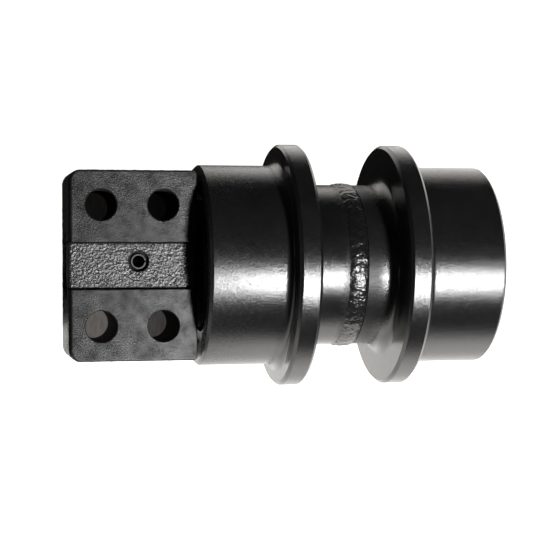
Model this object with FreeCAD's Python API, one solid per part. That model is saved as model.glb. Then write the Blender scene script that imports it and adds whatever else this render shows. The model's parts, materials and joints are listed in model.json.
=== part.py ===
import FreeCAD, Part
import math
import os

os.makedirs("parts", exist_ok=True)

# One-sided track roller, millimetres. The origin is the centre of the bracket's four bolt holes
# on the machined pads. +X runs along the axle from the bracket to the roller, +Z out of the pads.

# Roller
TREAD_RADIUS = 100.0
TREAD_CHAMFER = 3.0
ROLLER_LENGTH = 294.0
FLANGE_RADIUS = 121.5
FLANGE_CHAMFER = 3.0
FLANGE_INNER = 43.0
FLANGE_OUTER = 65.5
FLANGE_ROOT_ROUND = 9.0
NECK_RADIUS = 81.0
NECK_ROUND_LEFT = 7.0
NECK_ROUND_RIGHT = 12.5

# Bracket
PAD_LENGTH = 123.3
BLOCK_WIDTH = 186.0
BLOCK_THICKNESS = 94.0
BLOCK_RIGHT = 64.0
BLOCK_LIP = 2.2
BLOCK_CORNER = 12.0
BLOCK_CORNER_RIGHT = 5.0
BLOCK_EDGE_ROUND = 3.5
PAD_HEIGHT = 4.5
PAD_INSET = 0.8
PAD_CORNER = 6.0
PAD_CHAMFER = 0.8
PAD_WALL_DRAFT = 1.5
CHANNEL_WIDTH = 46.0
CHANNEL_ROUND = 2.5
BOLT_SPACING_X = 60.0
BOLT_SPACING_Y = 117.0
BOLT_HOLE_RADIUS = 15.25
END_GAP = 3.5

# Lock pin
PIN_X = 6.5
PIN_Y = 4.0
PIN_RADIUS = 8.0
PIN_BORE = 5.8
PIN_LENGTH = 80.0
PIN_SLOT = 2.0
PIN_RECESS_RADIUS = 10.0
PIN_RECESS_DEPTH = 3.0

# Shaft and bearings
SHAFT_SEAT_RADIUS = 32.5
JOURNAL_RADIUS = 36.0
COLLAR_RADIUS = 46.0
COLLAR_WIDTH = 7.0
SHAFT_RECESS = 3.5
OIL_HOLE_RADIUS = 4.0
BUSH_RADIUS = 42.0
BUSH_LENGTH = 70.0
OIL_CHAMBER_RADIUS = 46.0
THRUST_WASHER = 4.0
SEAT_CLEARANCE = 0.05
RUNNING_CLEARANCE = 0.05
FACE_CLEARANCE = 0.1

# Floating face seal
HUB_SPIGOT_RADIUS = 38.5
HUB_SPIGOT_DEPTH = 6.0
HUB_RADIUS = 62.0
HUB_CHAMFER = 1.5
HUB_STANDOFF = 4.5
SEAL_BORE = 54.0
SEAL_DEPTH = 12.0
SEAL_GAP = 3.0
SEAL_RING_INNER = 42.0
SEAL_RING_SLEEVE = 46.0
SEAL_RING_FACE = 52.5
SEAL_RING_FACE_WIDTH = 4.0
SEAL_RING_LENGTH = 11.5
TORIC_RADIUS = 3.95
LABYRINTH_RADIUS = 66.0
END_RECESS_RADIUS = 80.0
END_RECESS_DEPTH = 5.0

# Outer end: retainer plate and cover
PLATE_THICKNESS = 7.0
PLATE_BOLT_CIRCLE = 24.0
PLATE_BOLTS = 3
COVER_RECESS_RADIUS = 76.0
COVER_RECESS_DEPTH = 15.5
COVER_RIM = 6.5
COVER_CROWN = 8.5
COVER_CROWN_RADIUS = 54.0
COVER_SKIN = 5.0
SPIGOT_RADIUS = 56.0
SPIGOT_INNER = 50.0
SPIGOT_LENGTH = 8.0
COVER_BOLT_CIRCLE = 64.0
COVER_BOLTS = 6
PLUG_RADIUS = 8.0
PLUG_HEAD_RADIUS = 12.0
PLUG_SEAT_RADIUS = 13.5
PLUG_SEAT_DEPTH = 3.5

# M10 screws and their spring washers
SCREW_RADIUS = 5.0
SCREW_FLATS = 17.0
SCREW_HEAD = 6.4
WASHER_THICKNESS = 2.2
WASHER_RADIUS = 9.0
WASHER_SLIT = 1.6

# Weld between the two half shells
WELD_OFFSET = 2.8
WELD_HALF_WIDTH = 9.5
WELD_ROOT_RADIUS = 64.0
WELD_CROWN = 2.5
WELD_TOE = 1.0

# O-rings
SHAFT_RING_X = 48.0
GROOVE_HALF_WIDTH = 2.6
SHAFT_RING_RADIUS = 1.95
SHAFT_GROOVE = 36.4
COVER_RING_RADIUS = 1.85
COVER_GROOVE = 52.2

# Places along the axle, worked out from the sizes above
AXIS_Z = -BLOCK_THICKNESS / 2
ROLLER_LEFT = BLOCK_RIGHT + END_GAP
ROLLER_MIDDLE = ROLLER_LEFT + ROLLER_LENGTH / 2
ROLLER_RIGHT = ROLLER_LEFT + ROLLER_LENGTH
WELD_X = ROLLER_MIDDLE + WELD_OFFSET
PAD_LEFT = BLOCK_RIGHT - PAD_LENGTH
BLOCK_LEFT = PAD_LEFT - BLOCK_LIP
SHAFT_LEFT = BLOCK_LEFT + SHAFT_RECESS
SEAL_FLOOR = BLOCK_RIGHT + SEAL_DEPTH
HUB_FACE = SEAL_FLOOR + SEAL_DEPTH
SEAL_PLANE = HUB_FACE + SEAL_GAP / 2
SHELL_SEAL_FACE = HUB_FACE + SEAL_GAP
SHELL_SEAL_FLOOR = SHELL_SEAL_FACE + SEAL_DEPTH
COLLAR_LEFT = SHELL_SEAL_FLOOR + 2.0
COLLAR_RIGHT = COLLAR_LEFT + COLLAR_WIDTH
COLLAR_CHAMBER = COLLAR_RADIUS + 2.0
LEFT_THRUST = COLLAR_RIGHT + THRUST_WASHER
COVER_SEAT = ROLLER_RIGHT - COVER_RECESS_DEPTH
PLATE_LEFT = COVER_SEAT - SPIGOT_LENGTH - 6.0
PLATE_RIGHT = PLATE_LEFT + PLATE_THICKNESS
RIGHT_THRUST = PLATE_LEFT - THRUST_WASHER


def rounded_corner(before, corner, after, radius):
    """Start, middle and end of the arc that rounds one corner of an outline."""
    back = (before - corner).normalize()
    ahead = (after - corner).normalize()
    half_angle = back.getAngle(ahead) / 2
    reach = radius / math.tan(half_angle)
    centre = corner + (back + ahead).normalize() * (radius / math.sin(half_angle))
    middle = centre + (corner - centre).normalize() * radius
    return corner + back * reach, middle, corner + ahead * reach


def outline(corners):
    """Face bounded by straight lines between corners, each given with its rounding radius."""
    arcs = []
    for index, (corner, radius) in enumerate(corners):
        before = corners[index - 1][0]
        after = corners[(index + 1) % len(corners)][0]
        if radius > 0:
            arcs.append(rounded_corner(before, corner, after, radius))
        else:
            arcs.append((corner, None, corner))
    edges = []
    for index, (start, middle, end) in enumerate(arcs):
        if middle is not None:
            edges.append(Part.Arc(start, middle, end).toShape())
        next_start = arcs[(index + 1) % len(arcs)][0]
        edges.append(Part.makeLine(end, next_start))
    return Part.Face(Part.Wire(edges))


def turned(corners):
    """Solid of revolution about the axle from (x, radius) or (x, radius, rounding) corners."""
    section = []
    for corner in corners:
        rounding = corner[2] if len(corner) > 2 else 0
        section.append((FreeCAD.Vector(corner[0], 0, AXIS_Z + corner[1]), rounding))
    return outline(section).revolve(FreeCAD.Vector(0, 0, AXIS_Z), FreeCAD.Vector(1, 0, 0), 360)


def rod(radius, start, end, y=0.0, z=0.0):
    """Cylinder parallel to the axle, offset from it by y and z."""
    base = FreeCAD.Vector(start, y, AXIS_Z + z)
    return Part.makeCylinder(radius, end - start, base, FreeCAD.Vector(1, 0, 0))


def around_axle(count, circle):
    """Offsets (y, z) of evenly spaced places on a circle about the axle."""
    places = []
    for index in range(count):
        angle = 2 * math.pi * index / count + math.pi / 2
        places.append((circle * math.cos(angle), circle * math.sin(angle)))
    return places


def hexagon(flats, start, end, y, z):
    """Hexagonal prism parallel to the axle."""
    corner_radius = flats / math.sqrt(3)
    corners = []
    for index in range(6):
        angle = math.pi / 3 * index
        place = FreeCAD.Vector(
            start, y + corner_radius * math.cos(angle), AXIS_Z + z + corner_radius * math.sin(angle)
        )
        corners.append((place, 0))
    return outline(corners).extrude(FreeCAD.Vector(end - start, 0, 0))


def hex_screw(under_head, length, y, z):
    """M10 hexagon screw with a chamfered head, its shank running towards the bracket."""
    top = under_head + SCREW_HEAD
    head = hexagon(SCREW_FLATS, under_head, top, y, z)
    cone_radius = SCREW_FLATS / 2 + SCREW_HEAD
    cone = Part.makeCone(
        cone_radius, SCREW_FLATS / 2 - 0.4, SCREW_HEAD,
        FreeCAD.Vector(under_head, y, AXIS_Z + z), FreeCAD.Vector(1, 0, 0)
    )
    shank = rod(SCREW_RADIUS - SEAT_CLEARANCE, under_head - length, under_head, y, z)
    return head.common(cone).fuse(shank).removeSplitter()


def spring_washer(start, y, z):
    """Split washer under an M10 head."""
    ring = rod(WASHER_RADIUS, start, start + WASHER_THICKNESS, y, z)
    ring = ring.cut(rod(SCREW_RADIUS + 0.3, start - 1, start + WASHER_THICKNESS + 1, y, z))
    slit = Part.makeBox(
        WASHER_THICKNESS + 2, WASHER_SLIT, 2 * WASHER_RADIUS,
        FreeCAD.Vector(start - 1, y - WASHER_SLIT / 2, AXIS_Z + z)
    )
    return ring.cut(slit)


def ring_torus(x, circle, radius):
    """O-ring about the axle."""
    return Part.makeTorus(circle, radius, FreeCAD.Vector(x, 0, AXIS_Z), FreeCAD.Vector(1, 0, 0))


def edges_at_height(shape, height):
    """Edges that lie wholly in one horizontal plane."""
    found = []
    for edge in shape.Edges:
        if all(abs(vertex.Point.z - height) < 1e-6 for vertex in edge.Vertexes):
            found.append(edge)
    return found


def plan(left, right, front, back, left_radius, right_radius, bottom, top):
    """Upright prism on a rectangle whose left and right corners are rounded."""
    corners = [
        (FreeCAD.Vector(left, front, bottom), left_radius),
        (FreeCAD.Vector(right, front, bottom), right_radius),
        (FreeCAD.Vector(right, back, bottom), right_radius),
        (FreeCAD.Vector(left, back, bottom), left_radius),
    ]
    return outline(corners).extrude(FreeCAD.Vector(0, 0, top - bottom))


def bracket_core():
    """Cast block below the raised pads, with rounded edges."""
    side = BLOCK_WIDTH / 2
    bottom = PAD_HEIGHT - BLOCK_THICKNESS
    core = plan(
        BLOCK_LEFT, BLOCK_RIGHT, -side, side, BLOCK_CORNER, BLOCK_CORNER_RIGHT, bottom, -PAD_HEIGHT
    )
    rims = edges_at_height(core, -PAD_HEIGHT) + edges_at_height(core, bottom)
    return core.makeFillet(BLOCK_EDGE_ROUND, rims)


def bracket_pad():
    """Raised pad on the +Y side: a drafted wall and a rounded foot towards the channel."""
    half_channel = CHANNEL_WIDTH / 2
    side = BLOCK_WIDTH / 2 - PAD_INSET
    depth = PAD_HEIGHT + BLOCK_EDGE_ROUND + 1
    section = [
        (FreeCAD.Vector(BLOCK_LEFT, half_channel, 0), 0),
        (FreeCAD.Vector(BLOCK_LEFT, half_channel - PAD_WALL_DRAFT, -PAD_HEIGHT), CHANNEL_ROUND),
        (FreeCAD.Vector(BLOCK_LEFT, half_channel - 8, -PAD_HEIGHT), 0),
        (FreeCAD.Vector(BLOCK_LEFT, half_channel - 8, -depth), 0),
        (FreeCAD.Vector(BLOCK_LEFT, side + 5, -depth), 0),
        (FreeCAD.Vector(BLOCK_LEFT, side + 5, 0), 0),
    ]
    bar = outline(section).extrude(FreeCAD.Vector(BLOCK_RIGHT - BLOCK_LEFT, 0, 0))
    footprint = plan(
        PAD_LEFT, BLOCK_RIGHT, -side, side, PAD_CORNER, BLOCK_CORNER_RIGHT, -depth, 0
    )
    pad = bar.common(footprint)
    return pad.makeChamfer(PAD_CHAMFER, edges_at_height(pad, 0))


def bolt_hole(x, y):
    """Through hole for a mounting bolt."""
    place = FreeCAD.Vector(x, y, -BLOCK_THICKNESS)
    return Part.makeCylinder(BOLT_HOLE_RADIUS, BLOCK_THICKNESS, place)


def lock_pin_hole():
    """Cross hole for the spring pin, recessed a little at both channel floors."""
    down = FreeCAD.Vector(0, 0, -1)
    hole = Part.makeCylinder(
        PIN_RADIUS + SEAT_CLEARANCE, BLOCK_THICKNESS, FreeCAD.Vector(PIN_X, PIN_Y, 0), down
    )
    depth = PAD_HEIGHT + PIN_RECESS_DEPTH
    upper = Part.makeCylinder(PIN_RECESS_RADIUS, depth, FreeCAD.Vector(PIN_X, PIN_Y, 0), down)
    lower_top = FreeCAD.Vector(PIN_X, PIN_Y, depth - BLOCK_THICKNESS)
    lower = Part.makeCylinder(PIN_RECESS_RADIUS, depth, lower_top, down)
    return hole.fuse([upper, lower])


def end_bracket():
    """Bracket casting: block, four pads, shaft bore and the seal collar's counterbore."""
    top_pad = bracket_pad()
    middle = FreeCAD.Vector(0, 0, AXIS_Z)
    pads = [top_pad, top_pad.mirror(FreeCAD.Vector(0, 0, 0), FreeCAD.Vector(0, 1, 0))]
    pads += [pad.mirror(middle, FreeCAD.Vector(0, 0, 1)) for pad in pads]
    block = bracket_core().fuse(pads)
    bore = turned([
        (BLOCK_LEFT - 1, 0),
        (BLOCK_LEFT - 1, SHAFT_SEAT_RADIUS + 3),
        (BLOCK_LEFT + 2, SHAFT_SEAT_RADIUS),
        (SHAFT_RING_X - GROOVE_HALF_WIDTH, SHAFT_SEAT_RADIUS),
        (SHAFT_RING_X - GROOVE_HALF_WIDTH, SHAFT_GROOVE),
        (SHAFT_RING_X + GROOVE_HALF_WIDTH, SHAFT_GROOVE),
        (SHAFT_RING_X + GROOVE_HALF_WIDTH, SHAFT_SEAT_RADIUS),
        (BLOCK_RIGHT - HUB_SPIGOT_DEPTH, SHAFT_SEAT_RADIUS),
        (BLOCK_RIGHT - HUB_SPIGOT_DEPTH, HUB_SPIGOT_RADIUS + SEAT_CLEARANCE),
        (BLOCK_RIGHT + 1, HUB_SPIGOT_RADIUS + SEAT_CLEARANCE),
        (BLOCK_RIGHT + 1, 0),
    ])
    holes = [bore, lock_pin_hole()]
    for x in (-BOLT_SPACING_X / 2, BOLT_SPACING_X / 2):
        for y in (-BOLT_SPACING_Y / 2, BOLT_SPACING_Y / 2):
            holes.append(bolt_hole(x, y))
    return block.cut(holes).removeSplitter()


def seal_collar():
    """Round collar between bracket and roller: a spigot in the bracket, a hub with the seal seat."""
    hub_back = BLOCK_RIGHT + HUB_STANDOFF
    spigot_end = BLOCK_RIGHT - HUB_SPIGOT_DEPTH
    return turned([
        (spigot_end, SHAFT_SEAT_RADIUS),
        (spigot_end, HUB_SPIGOT_RADIUS),
        (hub_back, HUB_SPIGOT_RADIUS),
        (hub_back, HUB_RADIUS - HUB_CHAMFER),
        (hub_back + HUB_CHAMFER, HUB_RADIUS),
        (HUB_FACE - HUB_CHAMFER, HUB_RADIUS),
        (HUB_FACE, HUB_RADIUS - HUB_CHAMFER),
        (HUB_FACE, SEAL_BORE),
        (SEAL_FLOOR, SEAL_BORE),
        (SEAL_FLOOR, SHAFT_SEAT_RADIUS),
    ])


def shaft():
    """Stepped shaft: bracket seat, journal, thrust collar, oil drillings and tapped end."""
    seat = SHAFT_SEAT_RADIUS - SEAT_CLEARANCE
    body = turned([
        (SHAFT_LEFT, 0),
        (SHAFT_LEFT, seat - 2),
        (SHAFT_LEFT + 2, seat),
        (SEAL_FLOOR, seat),
        (SEAL_FLOOR, JOURNAL_RADIUS - 1),
        (SEAL_FLOOR + 1, JOURNAL_RADIUS),
        (COLLAR_LEFT, JOURNAL_RADIUS),
        (COLLAR_LEFT, COLLAR_RADIUS - 1),
        (COLLAR_LEFT + 1, COLLAR_RADIUS),
        (COLLAR_RIGHT, COLLAR_RADIUS),
        (COLLAR_RIGHT, JOURNAL_RADIUS),
        (PLATE_LEFT - 1, JOURNAL_RADIUS),
        (PLATE_LEFT, JOURNAL_RADIUS - 1),
        (PLATE_LEFT, 0),
    ])
    centre_drill = Part.makeCone(
        7, 2.5, 6, FreeCAD.Vector(SHAFT_LEFT, 0, AXIS_Z), FreeCAD.Vector(1, 0, 0)
    )
    cuts = [centre_drill, rod(OIL_HOLE_RADIUS, LEFT_THRUST + BUSH_LENGTH / 2, PLATE_LEFT + 1)]
    for x in (LEFT_THRUST + BUSH_LENGTH / 2, ROLLER_MIDDLE, RIGHT_THRUST - BUSH_LENGTH / 2):
        base = FreeCAD.Vector(x, 0, AXIS_Z)
        cuts.append(
            Part.makeCylinder(
                OIL_HOLE_RADIUS - 1, JOURNAL_RADIUS + 1, base, FreeCAD.Vector(0, 0, -1)
            )
        )
    cuts.append(
        Part.makeCylinder(
            PIN_RADIUS + SEAT_CLEARANCE, 2 * SHAFT_SEAT_RADIUS + 4,
            FreeCAD.Vector(PIN_X, PIN_Y, AXIS_Z - SHAFT_SEAT_RADIUS - 2)
        )
    )
    for y, z in around_axle(PLATE_BOLTS, PLATE_BOLT_CIRCLE):
        cuts.append(rod(SCREW_RADIUS, PLATE_LEFT - 24, PLATE_LEFT + 1, y, z))
    return body.cut(cuts)


def shaft_lock_pin():
    """Slotted hollow spring pin with chamfered ends."""
    bottom = AXIS_Z - PIN_LENGTH / 2
    base = FreeCAD.Vector(PIN_X, PIN_Y, bottom)
    chamfer = 1.2
    pin = Part.makeCone(PIN_RADIUS - 0.8, PIN_RADIUS, chamfer, base)
    middle = FreeCAD.Vector(PIN_X, PIN_Y, bottom + chamfer)
    pin = pin.fuse([
        Part.makeCylinder(PIN_RADIUS, PIN_LENGTH - 2 * chamfer, middle),
        Part.makeCone(
            PIN_RADIUS, PIN_RADIUS - 0.8, chamfer,
            FreeCAD.Vector(PIN_X, PIN_Y, bottom + PIN_LENGTH - chamfer)
        ),
    ]).removeSplitter()
    bore = Part.makeCylinder(PIN_BORE, PIN_LENGTH, base)
    slot = Part.makeBox(
        2 * PIN_RADIUS, PIN_SLOT, PIN_LENGTH, FreeCAD.Vector(PIN_X, PIN_Y - PIN_SLOT / 2, bottom)
    )
    return pin.cut([bore, slot])


def seal_ring(side):
    """Metal face-seal ring: side -1 sits in the bracket, +1 in the shell."""
    face = SEAL_PLANE + side * FACE_CLEARANCE / 2
    back_of_face = face + side * SEAL_RING_FACE_WIDTH
    back = face + side * SEAL_RING_LENGTH
    return turned([
        (face, SEAL_RING_INNER + 3),
        (face, SEAL_RING_FACE),
        (back_of_face, SEAL_RING_FACE),
        (back_of_face, SEAL_RING_SLEEVE, 0.5),
        (back, SEAL_RING_SLEEVE),
        (back, SEAL_RING_INNER),
        (face + side * 3, SEAL_RING_INNER),
    ])


def toric_ring(side):
    """Rubber ring that carries a seal ring in its housing."""
    x = SEAL_PLANE + side * (SEAL_RING_FACE_WIDTH + TORIC_RADIUS + 0.3)
    return ring_torus(x, (SEAL_BORE + SEAL_RING_SLEEVE) / 2, TORIC_RADIUS)


def shell_outside(side, neck_round):
    """Outer corners of a half shell from its end face to the weld root; side -1 is the left."""
    end = ROLLER_MIDDLE + side * ROLLER_LENGTH / 2
    outer = ROLLER_MIDDLE + side * FLANGE_OUTER
    inner = ROLLER_MIDDLE + side * FLANGE_INNER
    return [
        (end, TREAD_RADIUS - TREAD_CHAMFER),
        (end - side * TREAD_CHAMFER, TREAD_RADIUS),
        (outer, TREAD_RADIUS, FLANGE_ROOT_ROUND),
        (outer, FLANGE_RADIUS - FLANGE_CHAMFER),
        (outer - side * FLANGE_CHAMFER, FLANGE_RADIUS),
        (inner + side * FLANGE_CHAMFER, FLANGE_RADIUS),
        (inner, FLANGE_RADIUS - FLANGE_CHAMFER),
        (inner, NECK_RADIUS, neck_round),
        (WELD_X + side * WELD_HALF_WIDTH, NECK_RADIUS),
        (WELD_X, WELD_ROOT_RADIUS),
        (WELD_X, OIL_CHAMBER_RADIUS),
    ]


def shell_left():
    """Half shell at the bracket: tread, flange, half neck, bush bore and rotating seal seat."""
    return turned(shell_outside(-1, NECK_ROUND_LEFT) + [
        (LEFT_THRUST + BUSH_LENGTH, OIL_CHAMBER_RADIUS),
        (LEFT_THRUST + BUSH_LENGTH, BUSH_RADIUS),
        (LEFT_THRUST, BUSH_RADIUS),
        (LEFT_THRUST, COLLAR_CHAMBER),
        (SHELL_SEAL_FLOOR, COLLAR_CHAMBER),
        (SHELL_SEAL_FLOOR, SEAL_BORE),
        (SHELL_SEAL_FACE, SEAL_BORE),
        (SHELL_SEAL_FACE, LABYRINTH_RADIUS),
        (ROLLER_LEFT + END_RECESS_DEPTH, LABYRINTH_RADIUS),
        (ROLLER_LEFT + END_RECESS_DEPTH, END_RECESS_RADIUS, 3.0),
        (ROLLER_LEFT, END_RECESS_RADIUS + 1),
    ])


def shell_right():
    """Outer half shell: tread, flange, half neck, bush bore and the cover's recess."""
    shell = turned(shell_outside(1, NECK_ROUND_RIGHT) + [
        (RIGHT_THRUST - BUSH_LENGTH, OIL_CHAMBER_RADIUS),
        (RIGHT_THRUST - BUSH_LENGTH, BUSH_RADIUS),
        (RIGHT_THRUST, BUSH_RADIUS),
        (RIGHT_THRUST, SPIGOT_RADIUS),
        (COVER_SEAT, SPIGOT_RADIUS),
        (COVER_SEAT, COVER_RECESS_RADIUS),
        (ROLLER_RIGHT - 1.5, COVER_RECESS_RADIUS),
        (ROLLER_RIGHT, COVER_RECESS_RADIUS + 1.5),
    ])
    taps = []
    for y, z in around_axle(COVER_BOLTS, COVER_BOLT_CIRCLE):
        taps.append(rod(SCREW_RADIUS, COVER_SEAT - 24, COVER_SEAT + 1, y, z))
    return shell.cut(taps)


def weld_bead():
    """Butt weld that fills the groove between the half shells, with a crowned cap."""
    toe = WELD_HALF_WIDTH + WELD_TOE
    cap = Part.Arc(
        FreeCAD.Vector(WELD_X - toe, 0, AXIS_Z + NECK_RADIUS),
        FreeCAD.Vector(WELD_X, 0, AXIS_Z + NECK_RADIUS + WELD_CROWN),
        FreeCAD.Vector(WELD_X + toe, 0, AXIS_Z + NECK_RADIUS),
    ).toShape()
    foot = [
        FreeCAD.Vector(WELD_X + toe, 0, AXIS_Z + NECK_RADIUS),
        FreeCAD.Vector(WELD_X + WELD_HALF_WIDTH, 0, AXIS_Z + NECK_RADIUS),
        FreeCAD.Vector(WELD_X, 0, AXIS_Z + WELD_ROOT_RADIUS),
        FreeCAD.Vector(WELD_X - WELD_HALF_WIDTH, 0, AXIS_Z + NECK_RADIUS),
        FreeCAD.Vector(WELD_X - toe, 0, AXIS_Z + NECK_RADIUS),
    ]
    edges = [cap] + [Part.makeLine(start, end) for start, end in zip(foot, foot[1:])]
    section = Part.Face(Part.Wire(edges))
    return section.revolve(FreeCAD.Vector(0, 0, AXIS_Z), FreeCAD.Vector(1, 0, 0), 360)


def bush(start):
    """Plain bearing bush with chamfered bore and two axial oil grooves."""
    bore = JOURNAL_RADIUS + RUNNING_CLEARANCE
    outside = BUSH_RADIUS - SEAT_CLEARANCE
    end = start + BUSH_LENGTH
    body = turned([
        (start, bore + 1),
        (start, outside - 1),
        (start + 1, outside),
        (end - 1, outside),
        (end, outside - 1),
        (end, bore + 1),
        (end - 1, bore),
        (start + 1, bore),
    ])
    grooves = []
    for side in (-1, 1):
        grooves.append(rod(3.0, start + 6, end - 6, side * bore))
    return body.cut(grooves)


def thrust_washer(start):
    """Bronze thrust washer, a little thinner than its gap."""
    end = start + THRUST_WASHER - FACE_CLEARANCE
    return turned([
        (start, JOURNAL_RADIUS + 0.5),
        (start, COLLAR_RADIUS),
        (end, COLLAR_RADIUS),
        (end, JOURNAL_RADIUS + 0.5),
    ])


def retainer_plate():
    """Disc bolted to the shaft's end, which keeps the roller on."""
    plate = turned([
        (PLATE_LEFT, 6),
        (PLATE_LEFT, COLLAR_RADIUS),
        (PLATE_RIGHT - 1, COLLAR_RADIUS),
        (PLATE_RIGHT, COLLAR_RADIUS - 1),
        (PLATE_RIGHT, 6),
    ])
    holes = []
    for y, z in around_axle(PLATE_BOLTS, PLATE_BOLT_CIRCLE):
        holes.append(rod(SCREW_RADIUS + 0.3, PLATE_LEFT - 1, PLATE_RIGHT + 1, y, z))
    return plate.cut(holes)


def end_cover():
    """Outer cover: bolted rim, crowned middle, spigot with O-ring groove, plug seat."""
    seat = COVER_SEAT
    crown = seat + COVER_CROWN
    rim = COVER_RECESS_RADIUS - 0.3
    spigot = SPIGOT_RADIUS - 0.1
    spigot_end = seat - SPIGOT_LENGTH
    inside = crown - COVER_SKIN
    boss = PLUG_RADIUS + 4
    cover = turned([
        (crown - PLUG_SEAT_DEPTH, PLUG_RADIUS),
        (crown - PLUG_SEAT_DEPTH, PLUG_SEAT_RADIUS),
        (crown, PLUG_SEAT_RADIUS + 0.5),
        (crown, COVER_CROWN_RADIUS - 3, 2.0),
        (seat + COVER_RIM, COVER_CROWN_RADIUS, 1.5),
        (seat + COVER_RIM, rim - 1),
        (seat + COVER_RIM - 1, rim),
        (seat, rim),
        (seat, spigot),
        (seat - 1.6, spigot),
        (seat - 1.6, COVER_GROOVE),
        (seat - 6.2, COVER_GROOVE),
        (seat - 6.2, spigot),
        (spigot_end, spigot),
        (spigot_end, SPIGOT_INNER),
        (inside, SPIGOT_INNER, 3.0),
        (inside, boss, 1.0),
        (inside - 5, boss),
        (inside - 5, PLUG_RADIUS),
    ])
    holes = []
    for y, z in around_axle(COVER_BOLTS, COVER_BOLT_CIRCLE):
        holes.append(rod(SCREW_RADIUS + 0.3, seat - 1, seat + COVER_RIM + 1, y, z))
    return cover.cut(holes)


def fill_plug():
    """Oil plug with a hexagon socket."""
    seat = COVER_SEAT + COVER_CROWN - PLUG_SEAT_DEPTH + 1.5
    top = seat + 6.5
    plug = turned([
        (seat - 8, 0),
        (seat - 8, PLUG_RADIUS - 1),
        (seat - 7, PLUG_RADIUS - SEAT_CLEARANCE),
        (seat, PLUG_RADIUS - SEAT_CLEARANCE),
        (seat, PLUG_HEAD_RADIUS),
        (top - 1, PLUG_HEAD_RADIUS),
        (top, PLUG_HEAD_RADIUS - 1),
        (top, 0),
    ])
    return plug.cut(hexagon(10.0, top - 5, top + 1, 0, 0))


def fill_plug_washer():
    """Copper sealing washer under the oil plug."""
    seat = COVER_SEAT + COVER_CROWN - PLUG_SEAT_DEPTH
    return turned([
        (seat, PLUG_RADIUS + 0.2),
        (seat, PLUG_HEAD_RADIUS),
        (seat + 1.5, PLUG_HEAD_RADIUS),
        (seat + 1.5, PLUG_RADIUS + 0.2),
    ])


def screws(count, circle, under_head, length):
    """Ring of screws as separate solids."""
    places = around_axle(count, circle)
    return Part.makeCompound([hex_screw(under_head, length, y, z) for y, z in places])


def washers(count, circle, start):
    """Ring of spring washers as separate solids."""
    places = around_axle(count, circle)
    return Part.makeCompound([spring_washer(start, y, z) for y, z in places])


cover_face = COVER_SEAT + COVER_RIM
nodes = {
    "end_bracket": end_bracket(),
    "seal_collar": seal_collar(),
    "shaft": shaft(),
    "shaft_lock_pin": shaft_lock_pin(),
    "shaft_o_ring": ring_torus(
        SHAFT_RING_X, SHAFT_SEAT_RADIUS + SHAFT_RING_RADIUS, SHAFT_RING_RADIUS - SEAT_CLEARANCE
    ),
    "fixed_seal_ring": seal_ring(-1),
    "fixed_toric_ring": toric_ring(-1),
    "rotating_seal_ring": seal_ring(1),
    "rotating_toric_ring": toric_ring(1),
    "shell_left": shell_left(),
    "shell_right": shell_right(),
    "weld_bead": weld_bead(),
    "bush_left": bush(LEFT_THRUST),
    "bush_right": bush(RIGHT_THRUST - BUSH_LENGTH),
    "thrust_washer_left": thrust_washer(COLLAR_RIGHT + FACE_CLEARANCE),
    "thrust_washer_right": thrust_washer(RIGHT_THRUST),
    "retainer_plate": retainer_plate(),
    "retainer_lock_washers": washers(PLATE_BOLTS, PLATE_BOLT_CIRCLE, PLATE_RIGHT),
    "retainer_bolts": screws(PLATE_BOLTS, PLATE_BOLT_CIRCLE, PLATE_RIGHT + WASHER_THICKNESS, 30.0),
    "end_cover": end_cover(),
    "cover_o_ring": ring_torus(
        COVER_SEAT - 3.9, COVER_GROOVE + COVER_RING_RADIUS + 0.04, COVER_RING_RADIUS
    ),
    "cover_lock_washers": washers(COVER_BOLTS, COVER_BOLT_CIRCLE, cover_face),
    "cover_bolts": screws(COVER_BOLTS, COVER_BOLT_CIRCLE, cover_face + WASHER_THICKNESS, 30.0),
    "fill_plug": fill_plug(),
    "fill_plug_washer": fill_plug_washer(),
}

for name, shape in nodes.items():
    shape.exportStep("parts/" + name + ".step")
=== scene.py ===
import json
import math

import bmesh
import bpy
from mathutils import Matrix, Vector, noise


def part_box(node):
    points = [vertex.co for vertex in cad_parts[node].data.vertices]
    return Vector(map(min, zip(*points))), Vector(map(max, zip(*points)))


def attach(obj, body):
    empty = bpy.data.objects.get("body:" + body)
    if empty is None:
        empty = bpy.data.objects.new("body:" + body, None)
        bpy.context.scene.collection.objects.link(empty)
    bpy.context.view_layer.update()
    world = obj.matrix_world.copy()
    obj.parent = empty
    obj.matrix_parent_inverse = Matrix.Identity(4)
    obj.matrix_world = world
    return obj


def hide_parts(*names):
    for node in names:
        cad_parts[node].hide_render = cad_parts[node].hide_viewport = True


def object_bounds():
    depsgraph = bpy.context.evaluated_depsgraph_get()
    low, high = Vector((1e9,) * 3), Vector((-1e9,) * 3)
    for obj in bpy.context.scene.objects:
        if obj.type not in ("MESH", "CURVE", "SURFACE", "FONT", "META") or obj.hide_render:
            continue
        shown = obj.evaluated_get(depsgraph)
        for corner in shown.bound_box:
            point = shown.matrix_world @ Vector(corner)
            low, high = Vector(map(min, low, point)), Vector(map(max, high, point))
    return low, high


# A one-sided track roller: black painted shell halves, weld and bracket round the CAD frame.
# Shapes are written in millimetres in the row's frame and scaled once, by MM.

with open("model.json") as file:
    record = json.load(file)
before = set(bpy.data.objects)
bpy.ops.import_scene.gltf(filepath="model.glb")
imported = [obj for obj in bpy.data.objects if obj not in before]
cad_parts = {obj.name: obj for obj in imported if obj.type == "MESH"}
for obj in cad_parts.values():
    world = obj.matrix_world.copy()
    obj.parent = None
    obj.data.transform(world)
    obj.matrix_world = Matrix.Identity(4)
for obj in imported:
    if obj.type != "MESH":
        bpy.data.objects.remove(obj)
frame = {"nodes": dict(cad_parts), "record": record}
cad_low, cad_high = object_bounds()

MM = 0.001
SEGMENTS = 256


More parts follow.
